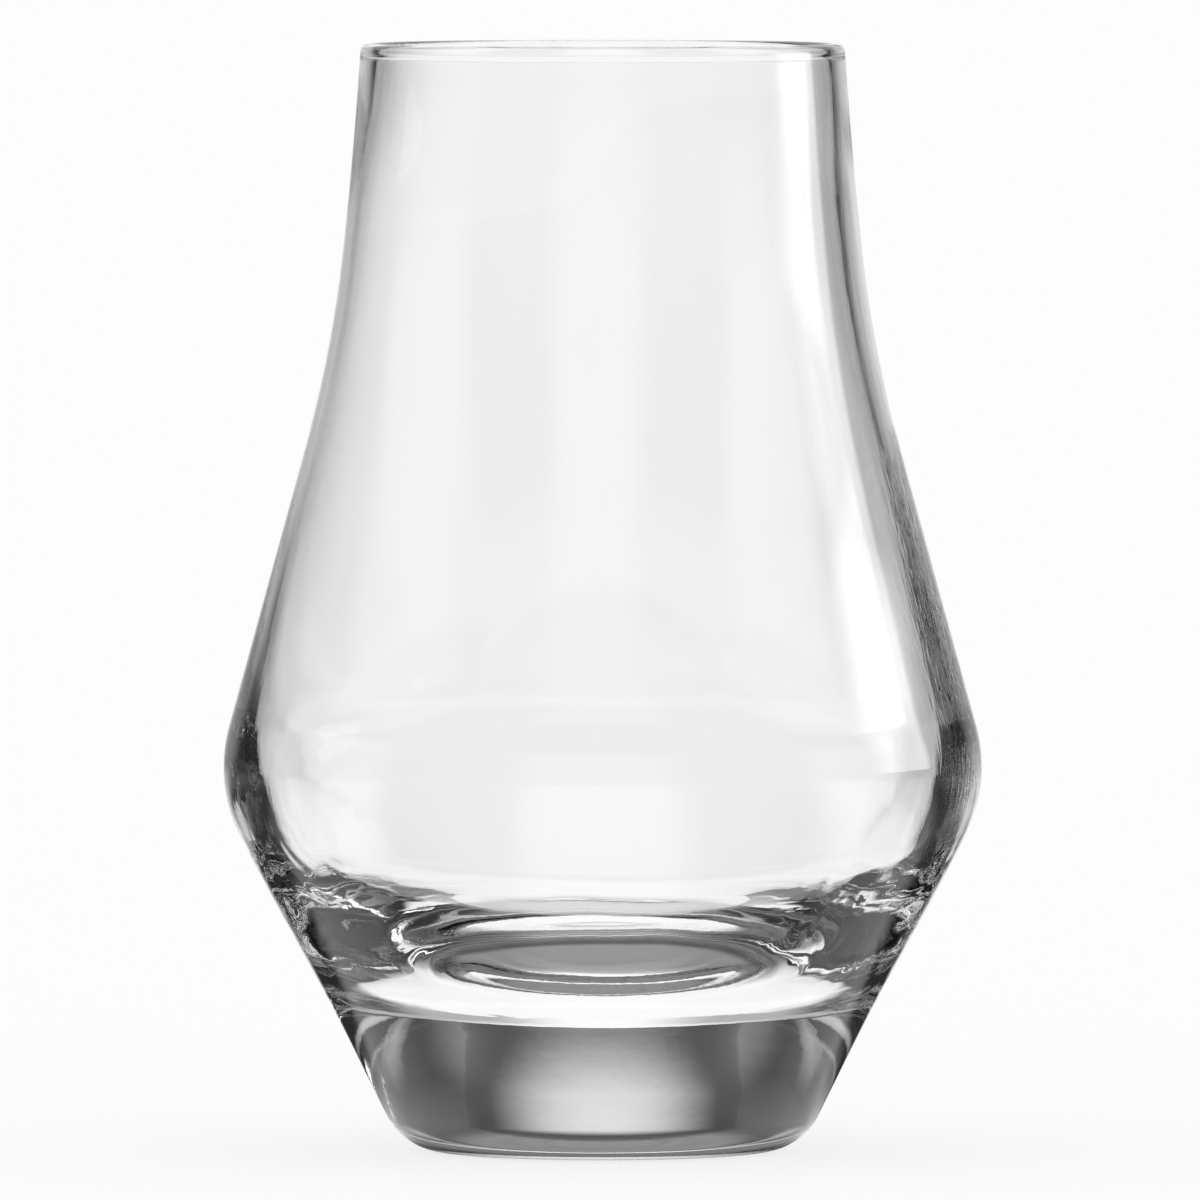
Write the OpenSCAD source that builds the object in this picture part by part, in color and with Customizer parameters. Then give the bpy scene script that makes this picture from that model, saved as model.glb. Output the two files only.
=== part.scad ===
// A small stemless glass for nosing and tasting whisky, blown in one piece of clear glass.
// The axis is Z, and the ring under the foot stands on z = 0.
// The section is a chain of curves and straight lines that meet without a corner, save at that ring.

/* [Glass] */
// Height from the table to the top of the rim
glass_h = 100; // [92:1:115]
// Outside diameter at the widest place
belly_d = 68.5; // [62:0.5:76]
// Height of the widest place above the table
belly_z = 34.7; // [31:0.1:39]
// Outside diameter at the rim
rim_d = 43.8; // [40:0.2:49]

/* [Outside curves] */
// Radius of the curve round the belly
belly_r = 14.1; // [11:0.1:17]
// Height at which the straight shoulder ends and the neck's hollow curve begins
shoulder_z = 63.2; // [56:0.2:70]
// Height at which that curve turns gentler
neck_z = 81.6; // [74:0.2:88]
// Share of the turn from the shoulder to the rim that the gentler curve takes
neck_share = 0.21; // [0.1:0.01:0.4]
// Slope of the wall just below the rim, from upright, in degrees
rim_lean = 3.7; // [2:0.1:5]

/* [Foot] */
// Outside diameter of the flat ring that stands on the table
foot_d = 28.9; // [28:0.1:34]
// Radius of the rounded edge of the foot
foot_r = 5.6; // [3:0.1:7]
// Diameter of the shallow hollow inside that ring
hollow_d = 26; // [20:0.5:27]
// Depth of that hollow at its centre
hollow_h = 0.8; // [0.3:0.1:2]

/* [Wall] */
// Thickness of the wall just below the rim
rim_wall = 1.5; // [1.2:0.05:1.7]
// Thickness of the wall where it is thinnest
neck_wall = 1.1; // [0.8:0.01:1.2]
// Thickness of the wall at the belly
belly_wall = 3.2; // [2:0.1:4.5]
// Height of the thinnest place above the table
thin_z = 70; // [62:1:80]

/* [Bowl] */
// Height of the lowest place of the bowl's floor above the table
floor_z = 16.4; // [14:0.1:19]
// Radius of the floor's curve at that place
floor_r = 75; // [60:1:90]
// Share of the bowl's depth below the belly over which the floor's curve follows the wall
hold_share = 0.3; // [0.1:0.05:0.5]

/* [Rim] */
// How far the fire-polished edge stands out from the wall inside
bead_w = 0.1; // [0.05:0.01:0.4]
// Radius of the hollow that blends that edge into the wall inside
bead_r = 2.5; // [1.5:0.1:4]

/* [Hidden] */
// Straight steps that draw each curve of the outline, and the steps round the axis
arc_steps = 20;
wall_steps = 40;
round_steps = 180;

// Radius of the polished edge, half of its thickness
lip_r = (rim_wall + bead_w) / 2;

// Outside at the rim, and the heights of the three stretches below it
lip_c = [rim_d / 2 - lip_r, glass_h - lip_r];
rim_top = lip_c + lip_r * toward(rim_lean);
gentle_h = rim_top.y - neck_z;
hollow_neck_h = neck_z - shoulder_z;
turn_h = neck_share * (gentle_h + hollow_neck_h);

// The shoulder is the straight line that touches the belly's curve and meets the neck's:
// across and up are how far the rim's own slope, drawn on down, passes the belly's centre
belly_x = belly_d / 2 - belly_r;
rim_slope = tan(rim_lean);
across = rim_top.x - belly_x + rim_slope * (2 * gentle_h + hollow_neck_h - turn_h) / 2;
up = (turn_h + hollow_neck_h) / 2 + shoulder_z - belly_z;
far = across ^ 2 + up ^ 2 - belly_r ^ 2;
shoulder_slope = (belly_r * sqrt(far) - across * up) / (up ^ 2 - belly_r ^ 2);
neck_slope = rim_slope + neck_share * (shoulder_slope - rim_slope);
neck_rad = rim_top.x + (rim_slope + neck_slope) / 2 * gentle_h;
shoulder_rad = neck_rad + (neck_slope + shoulder_slope) / 2 * hollow_neck_h;
shoulder_lean = atan(shoulder_slope);

// The straight flank touches the curves of the belly and of the foot
belly_c = [belly_x, belly_z];
foot_c = [foot_d / 2, foot_r];
flank_turn = acos((belly_r - foot_r) / norm(foot_c - belly_c));
flank_lean = bearing(belly_c, foot_c) + flank_turn;

// Hollow under the foot, a shallow dome
dome_r = (hollow_d ^ 2 / 4 + hollow_h ^ 2) / (2 * hollow_h);
dome_c = [0, hollow_h - dome_r];
dome_turn = bearing(dome_c, [hollow_d / 2, 0]);

// Floor of the bowl: four points that steer a cubic curve from the wall to the axis
wall_slope = 2 * (belly_wall - neck_wall) / (thin_z - belly_z);
bowl_h = belly_z - floor_z;
bowl_top = [belly_d / 2 - belly_wall, belly_z];
bowl_hold = bowl_top - hold_share * bowl_h * [wall_slope, 1];
bowl_flat = [sqrt(floor_r * (bowl_hold.y - floor_z) * 2 / 3), floor_z];
bowl_low = [0, floor_z];

// The hollow under the polished edge touches the edge's arc and the wall inside
wall_lean = atan(rim_slope + 2 * (rim_wall - neck_wall) / (lip_c.y - thin_z));
wall_top = [rim_d / 2 - rim_wall, lip_c.y];
bead_in = bead_r + (lip_c - wall_top) * toward(wall_lean);
bead_down = sqrt((lip_r + bead_r) ^ 2 - bead_in ^ 2);
bead_c = lip_c - bead_in * toward(wall_lean) - bead_down * toward(wall_lean + 90);
bead_turn = bearing(bead_c, lip_c);
wall_end_z = bead_c.y + bead_r * sin(wall_lean);

// Unit vector at an angle
function toward(angle) = [cos(angle), sin(angle)];

// Angle of the line from one point to another
function bearing(from, to) = atan2(to.y - from.y, to.x - from.x);

// Points of an arc, both ends included
function arc(centre, radius, start, end) =
    [for (i = [0:arc_steps]) centre + radius * toward(start + (end - start) * i / arc_steps)];

// Radius of a stretch whose slope grows evenly from its top to its foot, at a depth below its top
function eased_r(radius, slope, end_slope, height, depth) =
    radius + depth * (slope + (end_slope - slope) * depth / height / 2);

// Radius of the outside at a height, from the belly up to the rim
function outside_r(z) =
    z < belly_z + belly_r * sin(shoulder_lean) ? belly_x + sqrt(belly_r ^ 2 - (z - belly_z) ^ 2) :
    z < shoulder_z ? shoulder_rad + shoulder_slope * (shoulder_z - z) :
    z < neck_z ? eased_r(neck_rad, neck_slope, shoulder_slope, hollow_neck_h, neck_z - z) :
    eased_r(rim_top.x, rim_slope, neck_slope, gentle_h, rim_top.y - z);

// Thickness of the wall at a height: it grows both ways from the thinnest place
function wall_at(z) =
    z < thin_z ? neck_wall + (belly_wall - neck_wall) * ((thin_z - z) / (thin_z - belly_z)) ^ 2 :
    neck_wall + (rim_wall - neck_wall) * ((z - thin_z) / (lip_c.y - thin_z)) ^ 2;

// Points of the outside from one height up to another
function wall_outside(start, end) =
    [for (i = [1:arc_steps]) let (z = start + (end - start) * i / arc_steps) [outside_r(z), z]];

// Points of the wall inside, from the hollow under the edge down to the belly
function wall_inside() =
    [for (i = [0:wall_steps])
        let (z = wall_end_z + (belly_z - wall_end_z) * i / wall_steps)
        [outside_r(z) - wall_at(z), z]];

// Points of the bowl's floor, from the wall to the axis
function bowl_floor() =
    [for (i = [1:wall_steps])
        let (t = i / wall_steps, u = 1 - t)
        u ^ 3 * bowl_top + 3 * u ^ 2 * t * bowl_hold + 3 * u * t ^ 2 * bowl_flat + t ^ 3 * bowl_low];

// Half of the section, anticlockwise from the top of the hollow under the foot
module section() {
    polygon(concat(
        arc(dome_c, dome_r, 90, dome_turn),
        arc(foot_c, foot_r, -90, flank_lean),
        arc(belly_c, belly_r, flank_lean, shoulder_lean),
        [[shoulder_rad, shoulder_z]],
        wall_outside(shoulder_z, neck_z),
        wall_outside(neck_z, rim_top.y),
        arc(lip_c, lip_r, rim_lean, 180 + bead_turn),
        arc(bead_c, bead_r, bead_turn, wall_lean),
        wall_inside(),
        bowl_floor()
    ));
}

// The whole glass, one solid from the foot to the rim
module glass() {
    color([0.86, 0.9, 0.91, 0.35])
        rotate_extrude($fn = round_steps)
            section();
}

glass();
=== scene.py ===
import math

import bmesh
import bpy
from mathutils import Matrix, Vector, noise


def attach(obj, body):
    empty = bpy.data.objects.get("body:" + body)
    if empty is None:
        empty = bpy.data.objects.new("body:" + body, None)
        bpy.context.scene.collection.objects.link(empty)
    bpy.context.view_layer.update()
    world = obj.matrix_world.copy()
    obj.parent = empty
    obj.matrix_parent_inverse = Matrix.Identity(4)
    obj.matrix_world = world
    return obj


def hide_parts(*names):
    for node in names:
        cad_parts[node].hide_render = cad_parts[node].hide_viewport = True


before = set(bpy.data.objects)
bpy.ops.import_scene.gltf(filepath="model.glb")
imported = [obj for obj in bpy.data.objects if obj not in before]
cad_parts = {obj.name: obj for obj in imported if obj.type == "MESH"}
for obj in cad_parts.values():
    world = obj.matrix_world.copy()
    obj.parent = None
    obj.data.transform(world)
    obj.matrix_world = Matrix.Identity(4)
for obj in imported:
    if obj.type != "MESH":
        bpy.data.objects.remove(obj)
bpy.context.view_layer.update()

MM = 0.001

# ------------------------------------------------------ sizes of the glass, in millimetres and degrees
GLASS_H = 100.0
BELLY_D, BELLY_Z, BELLY_R, BELLY_WALL = 68.5, 34.7, 14.1, 3.2
RIM_D, RIM_WALL, RIM_LEAN = 43.8, 1.5, 3.7
SHOULDER_Z, NECK_Z, NECK_SHARE, NECK_WALL, THIN_Z = 63.2, 81.6, 0.21, 1.1, 70.0
FOOT_D, FOOT_R, HOLLOW_D, HOLLOW_H = 28.9, 5.6, 26.0, 0.8
FLOOR_Z, FLOOR_R, HOLD_SHARE = 16.4, 75.0, 0.3
LIP_R, BEAD_R = 0.8, 2.5

# The hand of the blower: the bowl sits a little to the left in the glass, and this grows between two heights
BOWL_ASIDE = -0.5
ASIDE_GROWS = (20, 44)
# The inside is a little uneven, in waves that are drawn out in height, and turns true below the rim
BOWL_UNEVEN = 0.03
BOWL_WAVE, BOWL_DRAWN = 13, 0.7
RIM_TRUE = (84, 97)
# Where the bowl turns into its floor the glass chilled first and is a little rippled. Four heights say where
# the ripples set in, are whole, begin to fade and are gone
CHILL, CHILL_WAVE = 0.11, 4.5
CHILL_HEIGHTS = (17.5, 20, 26, 34)
# Share of the ripples at the front and back, and the part of the way out to the sides over which they grow
CHILL_FRONT = 0.35
CHILL_GROWS = (0.4, 0.85)
# The flank of the foot is very slightly hollow, from one height and over a stretch above it
FLANK_HOLLOW = 0.2
FLANK_START, FLANK_SPAN = 2, 22
# It is uneven too, between four heights like those of the ripples
FLANK_UNEVEN, FLANK_WAVE = 0.04, 14
FLANK_HEIGHTS = (2, 7, 20, 26)

# Steps that draw each stretch of the section, from the axis under the foot round to the axis in the bowl
DOME_STEPS, FOOT_STEPS, FLANK_STEPS, BELLY_STEPS, NECK_STEPS = 14, 20, 8, 22, 28
LIP_STEPS, BEAD_STEPS, WALL_STEPS, FLOOR_STEPS = 20, 6, 48, 60
# Steps round the axis, and the gap in metres that is welded where the turn closes
ROUND_STEPS, WELD = 240, 1e-7


def toward(angle):
    """Unit vector of the section at an angle in degrees"""
    return Vector((math.cos(math.radians(angle)), math.sin(math.radians(angle))))


def bearing(start, end):
    """Angle in degrees of the line from one point of the section to another"""
    return math.degrees(math.atan2(end[1] - start[1], end[0] - start[0]))


# The outside above the belly: a straight shoulder, then two stretches whose slope eases to the rim's
lip = Vector((RIM_D / 2 - LIP_R, GLASS_H - LIP_R))
rim = lip + LIP_R * toward(RIM_LEAN)
gentle_h, neck_h = rim[1] - NECK_Z, NECK_Z - SHOULDER_Z
turn_h = NECK_SHARE * (gentle_h + neck_h)
belly = Vector((BELLY_D / 2 - BELLY_R, BELLY_Z))
rim_slope = math.tan(math.radians(RIM_LEAN))
across = rim[0] - belly[0] + rim_slope * (2 * gentle_h + neck_h - turn_h) / 2
up = (turn_h + neck_h) / 2 + SHOULDER_Z - BELLY_Z
far = across ** 2 + up ** 2 - BELLY_R ** 2
shoulder_slope = (BELLY_R * math.sqrt(far) - across * up) / (up ** 2 - BELLY_R ** 2)
neck_slope = rim_slope + NECK_SHARE * (shoulder_slope - rim_slope)
neck_rad = rim[0] + (rim_slope + neck_slope) / 2 * gentle_h
shoulder_rad = neck_rad + (neck_slope + shoulder_slope) / 2 * neck_h
shoulder_lean = math.degrees(math.atan(shoulder_slope))

# The straight flank between belly and foot
foot = Vector((FOOT_D / 2, FOOT_R))
flank_lean = bearing(belly, foot) + math.degrees(math.acos((BELLY_R - FOOT_R) / (foot - belly).length))

# The hollow under the foot
dome_r = (HOLLOW_D ** 2 / 4 + HOLLOW_H ** 2) / (2 * HOLLOW_H)
dome = Vector((0, HOLLOW_H - dome_r))

# The hollow curve that blends the polished edge into the wall inside
wall_lean = math.degrees(math.atan(rim_slope + 2 * (RIM_WALL - NECK_WALL) / (lip[1] - THIN_Z)))
bead_in = BEAD_R + (lip - Vector((RIM_D / 2 - RIM_WALL, lip[1]))).dot(toward(wall_lean))
bead_down = math.sqrt((LIP_R + BEAD_R) ** 2 - bead_in ** 2)
bead = lip - bead_in * toward(wall_lean) - bead_down * toward(wall_lean + 90)
bead_turn = bearing(bead, lip)


def outside_r(z):
    """Radius of the outside at a height, from the belly up to the rim"""
    if z < BELLY_Z + BELLY_R * math.sin(math.radians(shoulder_lean)):
        return belly[0] + math.sqrt(BELLY_R ** 2 - (z - BELLY_Z) ** 2)
    if z < SHOULDER_Z:
        return shoulder_rad + shoulder_slope * (SHOULDER_Z - z)
    if z < NECK_Z:
        down = NECK_Z - z
        return neck_rad + down * (neck_slope + (shoulder_slope - neck_slope) * down / neck_h / 2)
    down = rim[1] - z
    return rim[0] + down * (rim_slope + (neck_slope - rim_slope) * down / gentle_h / 2)


def wall_at(z):
    """Thickness of the wall at a height: it grows both ways from the thinnest place"""
    if z < THIN_Z:
        return NECK_WALL + (BELLY_WALL - NECK_WALL) * ((THIN_Z - z) / (THIN_Z - BELLY_Z)) ** 2
    return NECK_WALL + (RIM_WALL - NECK_WALL) * ((z - THIN_Z) / (lip[1] - THIN_Z)) ** 2


def bowl_floor(t):
    """Point of the bowl's floor, from the wall (0) to the axis (1)"""
    slope = 2 * (BELLY_WALL - NECK_WALL) / (THIN_Z - BELLY_Z)
    top = Vector((BELLY_D / 2 - BELLY_WALL, BELLY_Z))
    hold = top - HOLD_SHARE * (BELLY_Z - FLOOR_Z) * Vector((slope, 1))
    flat = Vector((math.sqrt(FLOOR_R * (hold[1] - FLOOR_Z) * 2 / 3), FLOOR_Z))
    low = Vector((0, FLOOR_Z))
    u = 1 - t
    return u ** 3 * top + 3 * u * u * t * hold + 3 * u * t * t * flat + t ** 3 * low


# ------------------------------------------------------ drawing the section
def carry(bm, end, places):
    """Carries the section on through a row of places and returns its new end"""
    for place in places:
        end = bmesh.ops.extrude_vert_indiv(bm, verts=[end])["verts"][0]
        end.co = Vector((place[0], 0, place[1])) * MM
    return end


def sweep(bm, end, centre, turn, steps):
    """Carries the section on round an arc and returns its new end"""
    made = bmesh.ops.spin(bm, geom=[end], cent=Vector((centre[0], 0, centre[1])) * MM, axis=(0, -1, 0),
                          angle=math.radians(turn), steps=steps)
    return [v for v in made["geom_last"] if isinstance(v, bmesh.types.BMVert)][0]


def steps_between(start, end, steps):
    """Evenly spaced values from just after start up to end"""
    return [start + (end - start) * (i + 1) / steps for i in range(steps)]


def draw_section(bm, inside):
    """Half of the glass's section, from the hollow under the foot, up the outside and down the inside"""
    end = bm.verts.new(Vector((0, 0, HOLLOW_H)) * MM)
    end = sweep(bm, end, dome, bearing(dome, (HOLLOW_D / 2, 0)) - 90, DOME_STEPS)
    end = carry(bm, end, [(FOOT_D / 2, 0)])
    end = sweep(bm, end, foot, flank_lean + 90, FOOT_STEPS)
    flank_foot, flank_top = foot + FOOT_R * toward(flank_lean), belly + BELLY_R * toward(flank_lean)
    end = carry(bm, end, [flank_foot.lerp(flank_top, t) for t in steps_between(0, 1, FLANK_STEPS)])
    end = sweep(bm, end, belly, shoulder_lean - flank_lean, BELLY_STEPS)
    end = carry(bm, end, [(outside_r(z), z) for z in steps_between(end.co.z / MM, rim[1], NECK_STEPS)])
    end = sweep(bm, end, lip, 180 + bead_turn - RIM_LEAN, LIP_STEPS)
    outside = set(bm.verts)
    end = sweep(bm, end, bead, wall_lean - bead_turn, BEAD_STEPS)
    heights = steps_between(end.co.z / MM, BELLY_Z, WALL_STEPS)
    end = carry(bm, end, [(outside_r(z) - wall_at(z), z) for z in heights])
    carry(bm, end, [bowl_floor(t) for t in steps_between(0, 1, FLOOR_STEPS)])
    for v in bm.verts:
        v[inside] = 0.0 if v in outside else 1.0


# ------------------------------------------------------ spinning the glass
def smooth_step(low, high, value):
    """Eases from 0 at low to 1 at high"""
    t = min(max((value - low) / (high - low), 0.0), 1.0)
    return t * t * (3 - 2 * t)


def rise_and_fall(heights, z):
    """Eases from 0 to 1 between the first two of four heights, and back to 0 between the last two"""
    return smooth_step(heights[0], heights[1], z) * (1 - smooth_step(heights[2], heights[3], z))


def shape_flank(v, z):
    """Makes the flank of the foot slightly hollow and uneven"""
    hollow = FLANK_HOLLOW * math.sin(math.pi * min(max((z - FLANK_START) / FLANK_SPAN, 0), 1)) ** 2
    uneven = FLANK_UNEVEN * rise_and_fall(FLANK_HEIGHTS, z) * noise.noise(v.co / (FLANK_WAVE * MM))
    v.co += v.normal * (uneven - hollow) * MM


def shape_bowl(v, z):
    """Leaves the bowl as the blower does: uneven, rippled where it chilled first, and a little to the left"""
    drawn = 1 - smooth_step(*RIM_TRUE, z)
    uneven = BOWL_UNEVEN * noise.noise(Vector((v.co.x, v.co.y, v.co.z * BOWL_DRAWN)) / (BOWL_WAVE * MM))
    to_side = smooth_step(*CHILL_GROWS, abs(v.co.x) / max(v.co.xy.length, MM))
    chilled = rise_and_fall(CHILL_HEIGHTS, z) * (CHILL_FRONT + (1 - CHILL_FRONT) * to_side)
    uneven += CHILL * chilled * noise.noise(v.co / (CHILL_WAVE * MM))
    v.co += v.normal * uneven * drawn * MM
    v.co.x += BOWL_ASIDE * MM * drawn * smooth_step(*ASIDE_GROWS, z)


def put_in_scene(bm, name):
    """Makes an object of a finished mesh"""
    mesh = bpy.data.meshes.new(name)
    bm.to_mesh(mesh)
    bm.free()
    piece = bpy.data.objects.new(name, mesh)
    bpy.context.scene.collection.objects.link(piece)
    return piece


def blow_glass():
    """The whole glass: its section spun round the axis, with the bowl as a blower leaves it"""
    bm = bmesh.new()
    inside = bm.verts.layers.float.new("inside")
    draw_section(bm, inside)
    bmesh.ops.spin(bm, geom=bm.verts[:] + bm.edges[:], cent=(0, 0, 0), axis=(0, 0, 1), angle=2 * math.pi,
                   steps=ROUND_STEPS, use_merge=True)
    bmesh.ops.remove_doubles(bm, verts=bm.verts[:], dist=WELD)
    bmesh.ops.recalc_face_normals(bm, faces=bm.faces[:])
    bm.normal_update()
    for v in bm.verts:
        if v[inside] < 0.5:
            shape_flank(v, v.co.z / MM)
        else:
            shape_bowl(v, v.co.z / MM)
    piece = put_in_scene(bm, "nosing_glass")
    piece.data.shade_smooth()
    return piece


# ------------------------------------------------------ node trees
WHITE = (1.0, 1.0, 1.0, 1.0)


class Recipe:
    """A node tree and the few moves that its makers need"""

    def __init__(self, tree):
        self.tree = tree
        tree.nodes.clear()

    def add(self, kind, inputs=None, **settings):
        """A new node, with its settings and with a value or another node's output for each input named"""
        node = self.tree.nodes.new(kind)
        for name, value in settings.items():
            setattr(node, name, value)
        for name, value in (inputs or {}).items():
            socket = node.inputs[name]
            if isinstance(value, bpy.types.NodeSocket):
                self.tree.links.new(value, socket)
            else:
                socket.default_value = value
        return node

    def maths(self, operation, *values):
        """Result of one sum"""
        return self.add("ShaderNodeMath", dict(enumerate(values)), operation=operation).outputs[0]

    def still_none(self, count):
        """1 while a count is 0"""
        return self.maths("LESS_THAN", count, 0.5)

    def mix(self, factor, first, second):
        """The first value where the factor is 0, the second where it is 1"""
        node = self.add("ShaderNodeMix", {"Factor": factor, "A": first, "B": second}, data_type="FLOAT")
        return node.outputs[0]

    def ease(self, value, low, high, start=0.0, end=1.0):
        """Eases from start at low to end at high"""
        inputs = {"Value": value, "From Min": low, "From Max": high, "To Min": start, "To Max": end}
        return self.add("ShaderNodeMapRange", inputs, interpolation_type="SMOOTHSTEP").outputs["Result"]

    def edge(self, value, place, soft, start=0.0, end=1.0):
        """Eases from start to end across a soft edge"""
        return self.ease(value, place - soft, place + soft, start, end)

    def window(self, value, low, high, soft):
        """1 between two values, easing to 0 outside them"""
        return self.maths("MULTIPLY", self.edge(value, low, soft), self.edge(value, high, soft, 1.0, 0.0))

    def near(self, value, middle, whole, gone):
        """1 within one distance of a middle value, easing to 0 at another"""
        distance = self.maths("ABSOLUTE", self.maths("SUBTRACT", value, middle))
        return self.ease(distance, whole, gone, 1.0, 0.0)

    def drawn_noise(self, place, fineness, turn=(0, 0, 0), **settings):
        """Noise with its own fineness along each axis"""
        spread = self.add("ShaderNodeMapping", {"Vector": place, "Rotation": turn, "Scale": fineness})
        inputs = {"Vector": spread.outputs[0], "Scale": 1.0, **settings}
        return self.add("ShaderNodeTexNoise", inputs).outputs[0]


def new_material(name):
    """A material and the recipe that its nodes are made with"""
    material = bpy.data.materials.new(name)
    material.use_nodes = True
    return material, Recipe(material.node_tree)


def height_of(r, place):
    """Height of a place or a direction"""
    return r.add("ShaderNodeSeparateXYZ", {0: place}).outputs["Z"]


def round_about(r, place):
    """Compass angle of a place or a direction in degrees, 0 straight behind the glass, and its distance from
    the axis"""
    part = r.add("ShaderNodeSeparateXYZ", {0: place}).outputs
    angle = r.maths("MULTIPLY", r.maths("ARCTAN2", part["X"], part["Y"]), 180 / math.pi)
    squares = [r.maths("POWER", part[name], 2.0) for name in ("X", "Y")]
    return angle, r.maths("SQRT", r.maths("ADD", *squares))


# ------------------------------------------------------ the clear glass, in metres and degrees
REFRACTION = 1.52
# Strength and depth of all the unevenness that is too fine to be drawn
FINE_STRENGTH, FINE_DEPTH = 0.02, 0.0004
# Ripples: how fine they are along each axis
RIPPLE_FINE = (420, 420, 60)
# Cords: how fine they are, their slant in radians, the part of the noise that they are cut from, and their
# strength beside the ripples'
CORD_FINE, CORD_SLANT = (700, 1500, 190), 0.5
CORD_CUT, CORDS = (0.42, 0.62), 3.0
# The side that they are on, how far round from it they are whole and gone, and the heights that they run over
CORD_SIDE, CORD_WHOLE, CORD_GONE = 92.0, 12, 24
CORD_LOW, CORD_HIGH, CORD_SOFT = 0.036, 0.060, 0.006
# Grain: how fine its folds are, how closely they are cut into rings, and its strength beside the ripples'
FOLD_FINE, RINGS, GRAIN = (75, 75, 110), 38.0, 1.5
# It is on this side, left and right, and otherwise placed as the cords are
FOLD_SIDE, FOLD_WHOLE, FOLD_GONE = 95.0, 30, 52
FOLD_LOW, FOLD_HIGH, FOLD_SOFT = 0.0145, 0.0285, 0.002
# Smears of a cloth: how fine they are, the part of the noise that they are cut from, and their roughness
SMEAR_FINE, SMEAR_CUT, SMEARED = (60, 60, 25), (0.55, 0.8), 0.012
# Scuffs: the same, with the least and the most roughness
SCUFF_FINE, SCUFF_CUT, SCUFFED = 2600.0, (0.4, 0.7), (0.08, 0.3)
# The ring that is scuffed ends between two heights and begins between two radii
RING_TOP, RING_INSIDE = (0.00005, 0.0004), (0.0125, 0.013)


def clear_glass():
    """Clear glass, polished by fire: drawn ripples, fine cords at one side, grain at two sides of the foot,
    smears left by a cloth and a scuffed ring"""
    material, r = new_material("clear_glass")
    place = r.add("ShaderNodeTexCoord").outputs["Object"]
    angle, reach = round_about(r, place)
    height = height_of(r, place)
    # long faint ripples that the blowing draws down the wall
    ripple = r.drawn_noise(place, RIPPLE_FINE, Detail=3.0, Roughness=0.55)
    # cords, fine as hairs, where the shears cut the gob: they end up in one side of the belly and slant up
    hairs = r.drawn_noise(place, CORD_FINE, (CORD_SLANT, 0, 0), Detail=2.0, Distortion=0.6)
    cut_side = r.maths("MULTIPLY", r.near(angle, CORD_SIDE, CORD_WHOLE, CORD_GONE),
                       r.window(height, CORD_LOW, CORD_HIGH, CORD_SOFT))
    cords = r.maths("MULTIPLY", r.ease(hairs, *CORD_CUT), r.maths("MULTIPLY", cut_side, CORDS))
    # grain in the thick glass at two sides of the foot, where the gob folded as it fell into the mould
    folds = r.drawn_noise(place, FOLD_FINE, Detail=1.0, Distortion=0.8)
    folded = r.maths("MULTIPLY", r.near(r.maths("ABSOLUTE", angle), FOLD_SIDE, FOLD_WHOLE, FOLD_GONE),
                     r.window(height, FOLD_LOW, FOLD_HIGH, FOLD_SOFT))
    rings = r.maths("SINE", r.maths("MULTIPLY", folds, RINGS))
    grain = r.maths("MULTIPLY", rings, r.maths("MULTIPLY", folded, GRAIN))
    uneven = r.maths("ADD", r.maths("ADD", ripple, cords), grain)
    bump = r.add("ShaderNodeBump", {"Height": uneven, "Strength": FINE_STRENGTH, "Distance": FINE_DEPTH})
    # a cloth leaves the faintest smears, and the ring is scuffed by the tables it has stood on
    smears = r.ease(r.drawn_noise(place, SMEAR_FINE, Detail=4.0, Distortion=1.2), *SMEAR_CUT, 0.0, SMEARED)
    scuffs = r.add("ShaderNodeTexNoise", {"Vector": place, "Scale": SCUFF_FINE, "Detail": 3.0}).outputs[0]
    ring = r.maths("MULTIPLY", r.ease(height, *RING_TOP, 1.0, 0.0), r.ease(reach, *RING_INSIDE))
    dull = r.maths("ADD", smears, r.maths("MULTIPLY", ring, r.ease(scuffs, *SCUFF_CUT, *SCUFFED)))
    shader = r.add("ShaderNodeBsdfPrincipled", {"Base Color": WHITE, "Roughness": dull, "IOR": REFRACTION,
                                                "Transmission Weight": 1.0, "Normal": bump.outputs[0]})
    r.add("ShaderNodeOutputMaterial", {"Surface": shader.outputs[0]})
    return material


glass = blow_glass()
glass.data.materials.append(clear_glass())
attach(glass, "root")
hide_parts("glass")


# ------------------------------------------------------ floor and studio, in metres and degrees; what the glass shows of them is painted light and shade
# A ray that has only passed through the glass sees a painted pale surround, whole in eight directions and
# painted dimmer
# between them: half the angle between two directions, how far aside it stays whole, how far aside it is
# dimmest, and its brightness there
CLEAR_PITCH, CLEAR_WHOLE, CLEAR_DIMMEST, CLEAR_LEAST = 22.5, 3, 16, 0.6
# Such a ray's table: its brightness under the foot, a painted shade, and the radii between which the painted
# dimming sets in
CLEAR_UNDER, CLEAR_DIMS = 0.8, (0.08, 0.25)
# Such a ray's painted surround above the table ends between two heights
CLEAR_TOP = (14, 26)

# Table: half its size, how far it lies below the ring so that the two don't touch, and its colour
TABLE_HALF, TABLE_DROP, TABLE_COLOR = 30, 0.00005, (0.9, 0.9, 0.9, 1.0)
# Share of it that glows white to the camera; the rest takes the glass's soft shadow
TABLE_GLOW = 0.8
# Painted light on the table, seen only in the glass: bright lanes run away from the glass in four directions,
# with
# painted dark gaps between them: half the angle between two lanes, half the width of one, and how far aside
# the gap is dimmest
LANE_PITCH, LANE_HALF, GAP_DIMMEST = 45.0, 15, 30
# The painted dark gap's brightness near the glass and far off, and the radii between which it sets in and
# grows paler
GAP_NEAR, GAP_FAR = 0.03, 0.3
GAP_BEGINS, GAP_PALES = (0.02, 0.05), (0.15, 0.5)
# The foot's painted shade on the table, seen only in the glass: brightness under it and just beside it, the
# radii between which it turns from one to the other, and those between which it ends
PAINTED_SHADE_UNDER, PAINTED_SHADE_BESIDE = 0.28, 0.08
PAINTED_SHADE_TURNS, PAINTED_SHADE_ENDS = (0.0130, 0.0145), (0.016, 0.020)
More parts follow.
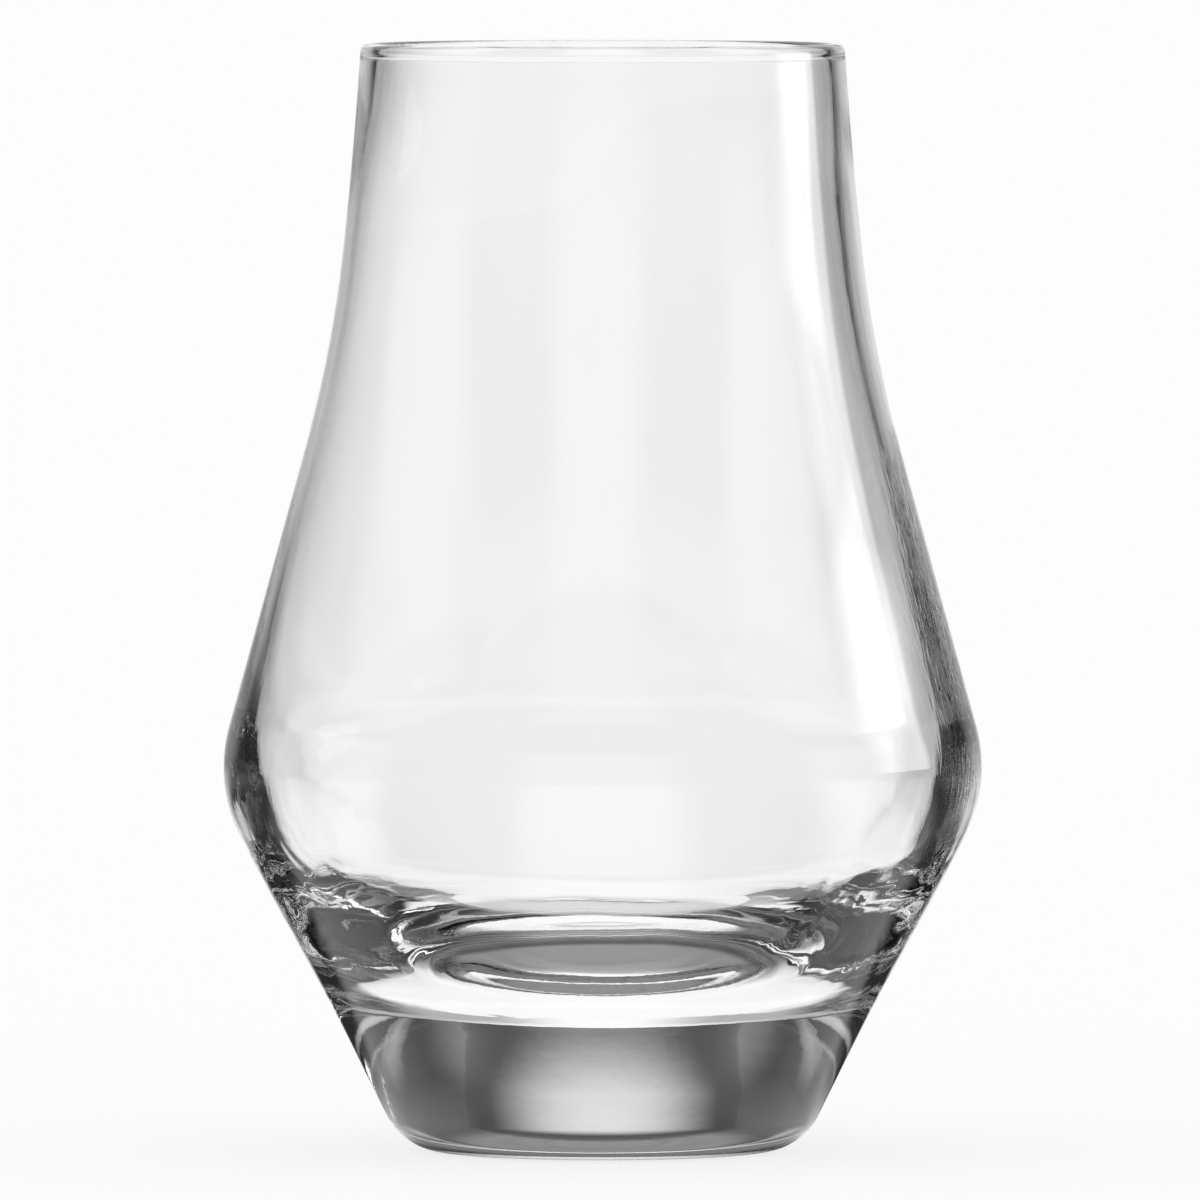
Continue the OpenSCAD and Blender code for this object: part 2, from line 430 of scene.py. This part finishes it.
# Far off the table has painted light like the backdrop's: the radii between which it turns so, and its least
# brightness
FAR_TURNS, FAR_LEAST = (0.3, 0.9), 0.1

# Painted backdrop, seen only in the glass: where its middle ends, where its paler sides begin, their
# brightness, and where they end
MIDDLE_END, SIDES_BEGIN, SIDES = 3, 16, 0.45
SIDES_END, SIDES_SOFT = 30, 6
# It grows wider, by so many times, between two heights, and has a soft top edge
WIDER, WIDENS = 2.4, (10, 26)
BACKDROP_TOP, BACKDROP_SOFT = 34, 6
# Painted overhead light, seen only in the glass: where it begins, and its brightness. The rest is a painted
# dark studio, dim
OVERHEAD_FROM, OVERHEAD_SOFT, OVERHEAD, DIM = 52, 8, 0.22, 0.02
# Painted highlight at the right, an upright bright panel seen only in the glass: its first and last angle,
# each with the softness of its edge, and its brightness
BOX_FIRST, BOX_FIRST_SOFT = 62, 2
BOX_LAST, BOX_LAST_SOFT = 86, 6
BOX = 3.2
# Height of its top edge, that edge's softness, and how much it rises for each degree round
BOX_TOP, BOX_TOP_SOFT, BOX_RISE = 16, 1.5, 0.22
# A ray that has crossed the glass sees only the painted highlight's lower part, which ends between two
# heights, and a share of its brightness, with some more if it has crossed fewer surfaces than BOX_CROSSED
BOX_LOW, BOX_CROSSED = (9, 12), 2.5
BOX_SHARE, BOX_SHARE_MORE = 0.35, 0.3


def painted_middle_light(r, aside):
    """Painted brightness of the backdrop, or of the table far off, at an angle from straight behind the glass
    """
    return r.maths("MULTIPLY", r.ease(aside, MIDDLE_END, SIDES_BEGIN, 1.0, SIDES),
                   r.edge(aside, SIDES_END, SIDES_SOFT, 1.0, 0.0))


def only_passed(r):
    """1 for a ray that has only passed through the glass, 0 once it has been reflected"""
    return r.still_none(r.add("ShaderNodeLightPath").outputs["Glossy Depth"])


def straight_through(r, angle, dressed, share, dimming=1.0):
    """Adds what shows through the glass to the dressed studio: a ray that has only passed through sees a
    painted pale surround from every side, with painted dimming between eight directions"""
    # painted dimming between eight directions
    aside = r.maths("PINGPONG", angle, CLEAR_PITCH)
    dim = r.ease(aside, CLEAR_WHOLE, CLEAR_DIMMEST, 0.0, 1.0 - CLEAR_LEAST)
    plain = r.maths("SUBTRACT", 1.0, r.maths("MULTIPLY", dim, dimming))
    return r.maths("MAXIMUM", dressed, r.maths("MULTIPLY", plain, r.maths("MULTIPLY", only_passed(r), share)))


def in_the_glass(r):
    """What the light path says of a ray, and 1 for a ray that the glass has reflected or let through"""
    ray = r.add("ShaderNodeLightPath").outputs
    return ray, r.maths("MAXIMUM", ray["Is Glossy Ray"], ray["Is Transmission Ray"])


def painted_table_light(r):
    """Painted light and shade of the table in the glass: bright lanes with dark gaps between them, the foot's
    painted shade, the far part
    """
    angle, reach = round_about(r, r.add("ShaderNodeTexCoord").outputs["Object"])
    # painted dark gaps between the painted bright lanes on the table
    gap = r.ease(r.maths("PINGPONG", angle, LANE_PITCH), LANE_HALF, GAP_DIMMEST)
    dimmer = r.maths("MULTIPLY", r.ease(reach, *GAP_BEGINS),
                     r.ease(reach, *GAP_PALES, 1.0 - GAP_NEAR, 1.0 - GAP_FAR))
    painted_lanes = r.maths("SUBTRACT", 1.0, r.maths("MULTIPLY", gap, dimmer))
    middle = r.maths("MAXIMUM", painted_middle_light(r, r.maths("ABSOLUTE", angle)), FAR_LEAST)
    painted_lanes = r.mix(r.ease(reach, *FAR_TURNS), painted_lanes, middle)
    # painted shade of the foot on the table, seen only in the glass
    shade = r.maths("ADD", r.ease(reach, *PAINTED_SHADE_TURNS, PAINTED_SHADE_UNDER, PAINTED_SHADE_BESIDE),
                    r.ease(reach, *PAINTED_SHADE_ENDS, 0.0, 1.0 - PAINTED_SHADE_BESIDE))
    # a ray that has only passed through the glass sees a lighter painted shade under the foot
    share = r.ease(reach, PAINTED_SHADE_TURNS[0], PAINTED_SHADE_ENDS[1], CLEAR_UNDER, 1.0)
    return straight_through(r, angle, r.maths("MULTIPLY", shade, painted_lanes), share, r.ease(reach, *CLEAR_DIMS))


def table_top():
    """Pale table: plain and matt, white to the camera but for the glass's soft shadow. Through the glass and
    in its gloss it glows with painted light and shade like a studio table's, in lanes that run away from the
    glass"""
    bm = bmesh.new()
    bmesh.ops.create_grid(bm, x_segments=1, y_segments=1, size=TABLE_HALF)
    bmesh.ops.translate(bm, verts=bm.verts[:], vec=(0, 0, -TABLE_DROP))
    table = put_in_scene(bm, "table_top")
    material, r = new_material("pale_table_with_painted_light")
    painted_glow = painted_table_light(r)
    ray, through = in_the_glass(r)
    share = r.maths("ADD", r.maths("MULTIPLY", ray["Is Camera Ray"], TABLE_GLOW), through)
    matt = r.add("ShaderNodeBsdfDiffuse", {"Color": TABLE_COLOR})
    # Emission: plain white to the camera, and for rays in the glass the table's painted light and shade
    lit = r.add("ShaderNodeEmission", {"Color": WHITE, "Strength": r.mix(through, 1.0, painted_glow)})
    both = r.add("ShaderNodeMixShader", {0: share, 1: matt.outputs[0], 2: lit.outputs[0]})
    r.add("ShaderNodeOutputMaterial", {"Surface": both.outputs[0]})
    table.data.materials.append(material)


def backdrop(r, side, height):
    """Backdrop behind the glass, painted into the world and seen only in the glass. A ray that has only
    passed through sees it in four directions
    """
    aside = r.mix(only_passed(r), r.maths("ABSOLUTE", side), r.maths("PINGPONG", side, LANE_PITCH))
    aside = r.maths("DIVIDE", aside, r.ease(height, *WIDENS, 1.0, WIDER))
    return r.maths("MULTIPLY", painted_middle_light(r, aside), r.edge(height, BACKDROP_TOP, BACKDROP_SOFT, 1.0, 0.0))


# Painted highlight, seen only in the glass
def painted_softbox(r, side, height):
    """Painted highlight at the right, shaped as an upright panel, whose whole height shows only in the first
    reflection
    """
    box = r.maths("MULTIPLY", r.edge(side, BOX_FIRST, BOX_FIRST_SOFT),
                  r.edge(side, BOX_LAST, BOX_LAST_SOFT, 1.0, 0.0))
    rise = r.maths("MULTIPLY", r.maths("SUBTRACT", side, BOX_FIRST), BOX_RISE)
    box = r.maths("MULTIPLY", box, r.edge(r.maths("SUBTRACT", height, rise), BOX_TOP, BOX_TOP_SOFT, BOX, 0.0))
    crossed = r.add("ShaderNodeLightPath").outputs["Transmission Depth"]
    few = r.maths("MULTIPLY", r.maths("LESS_THAN", crossed, BOX_CROSSED), BOX_SHARE_MORE)
    low_part = r.maths("MULTIPLY", r.maths("ADD", few, BOX_SHARE), r.ease(height, *BOX_LOW, 1.0, 0.0))
    return r.maths("MULTIPLY", box, r.maths("MAXIMUM", r.still_none(crossed), low_part))


def studio():
    """Soft light from all round; the glass also shows painted reflections of a backdrop behind it, a bright
    panel at the right and dark sides"""
    world = bpy.data.worlds.new("studio")
    bpy.context.scene.world = world
    world.use_nodes = True
    r = Recipe(world.node_tree)
    way = r.add("ShaderNodeTexCoord").outputs["Generated"]
    side = round_about(r, way)[0]
    height = r.maths("MULTIPLY", r.maths("ARCSINE", height_of(r, way)), 180 / math.pi)
    # painted overhead light and painted dim studio, seen only in the glass
    above = r.edge(height, OVERHEAD_FROM, OVERHEAD_SOFT, DIM, OVERHEAD)
    seen = r.maths("ADD", r.maths("ADD", backdrop(r, side, height), painted_softbox(r, side, height)), above)
    seen = straight_through(r, side, seen, r.ease(height, *CLEAR_TOP, 1.0, 0.0))
    # rays that the glass reflects or lets through see the painted reflections; all other rays get plain light
    level = r.mix(in_the_glass(r)[1], 1.0, seen)
    light = r.add("ShaderNodeBackground", {"Color": WHITE, "Strength": level})
    r.add("ShaderNodeOutputWorld", {"Surface": light.outputs[0]})


# ------------------------------------------------------ camera
# Sensor and lens in millimetres, the nearest and farthest that it sees in metres, and where it stands
SENSOR, LENS = 36, 673.03
NEAREST, FARTHEST = 0.05, 100
SEAT = (0, -2.02427, 0.13092)
# How far it looks down in degrees, the picture's width in pixels, and how many of them it aims lower and left
LOOK_DOWN = 2.28922
PICTURE, AIM_LOWER, AIM_LEFT = 1200, 2.84, 2.7


def camera():
    """Long lens, just above the rim, at the photograph's angle"""
    lens = bpy.data.cameras.new("camera")
    lens.sensor_width = SENSOR
    lens.lens = LENS
    lens.clip_start, lens.clip_end = NEAREST, FARTHEST
    seat = bpy.data.objects.new("camera", lens)
    bpy.context.scene.collection.objects.link(seat)
    seat.location = SEAT
    pixels = LENS / SENSOR * PICTURE
    seat.rotation_euler = (math.radians(90 - LOOK_DOWN) - AIM_LOWER / pixels, 0, AIM_LEFT / pixels)
    bpy.context.scene.camera = seat


table_top()
studio()
camera()

scene = bpy.context.scene
scene.view_settings.view_transform = "Standard"
scene.cycles.max_bounces = 32
scene.cycles.glossy_bounces = 24
scene.cycles.transmission_bounces = 32
